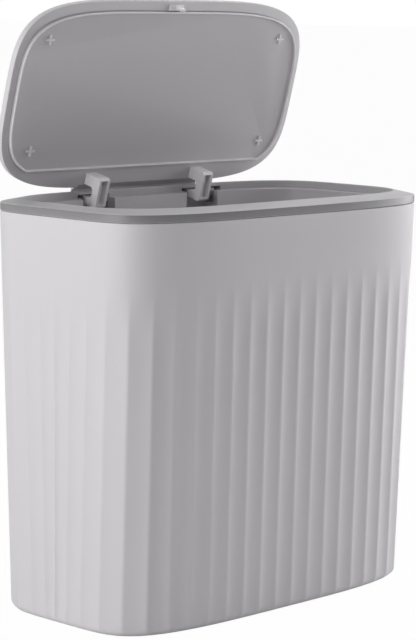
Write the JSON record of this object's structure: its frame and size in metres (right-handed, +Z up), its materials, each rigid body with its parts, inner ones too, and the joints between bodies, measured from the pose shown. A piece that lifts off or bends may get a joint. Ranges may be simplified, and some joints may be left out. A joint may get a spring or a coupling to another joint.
{
  "type": "lidded waste bin",
  "caption": "Slim fluted waste bin with a lift-off rim, a sprung press-to-open lid on gooseneck hinges and a drop-on wall plate.",
  "frame": {"origin": "on the flat base, below the middle of the rim", "axes": "+X along the bin's length, -Y towards the front, where the lid opens, +Z up"},
  "size_m": [0.29, 0.1678, 0.4007],
  "materials": {
    "shell_grey": "fine matt moulded plastic",
    "rim_grey": "satin moulded plastic",
    "lid_grey": "satin moulded plastic",
    "light_grey": "satin moulded plastic",
    "steel": "bright drawn wire",
    "zinc": "zinc plated"
  },
  "bodies": {
    "bin": {"bin_body": "shell_grey"},
    "wall_plate": {"wall_plate": "light_grey"},
    "rim": {"rim_frame": "rim_grey", "hinge_pin_left": "steel", "hinge_pin_right": "steel", "hinge_spring_left": "steel", "hinge_spring_right": "steel", "latch_case": "light_grey", "latch_spring": "steel"},
    "lid": {"lid_cover": "lid_grey", "lid_liner": "lid_grey", "hinge_arm_left": "light_grey", "hinge_arm_right": "light_grey", "arm_screw_left": "zinc", "arm_screw_right": "zinc", "latch_striker": "light_grey"},
    "latch": {"latch_plunger": "light_grey"}
  },
  "joints": [
    {"name": "lid_hinge", "type": "hinge", "parent": "rim", "child": "lid", "pos_m": [0, 0.0718, 0.2662], "axis": [1, 0, 0], "range_deg": [0, 75.4], "stiffness_Nm_per_rad": 0.08, "springref_deg": -57.3, "deforming": ["hinge_spring_left", "hinge_spring_right"]},
    {"name": "latch_press", "type": "slide", "parent": "rim", "child": "latch", "axis": [0, 0, -1], "range_m": [0, 0.0035], "stiffness_N_per_m": 150, "springref_m": -0.008, "deforming": ["latch_spring"]},
    {"name": "rim_lift", "type": "slide", "parent": "bin", "child": "rim", "axis": [0, 0, 1], "range_m": [0, 0.06]},
    {"name": "wall_plate_slide", "type": "slide", "parent": "bin", "child": "wall_plate", "axis": [0, 0, -1], "range_m": [0, 0.045]}
  ]
}
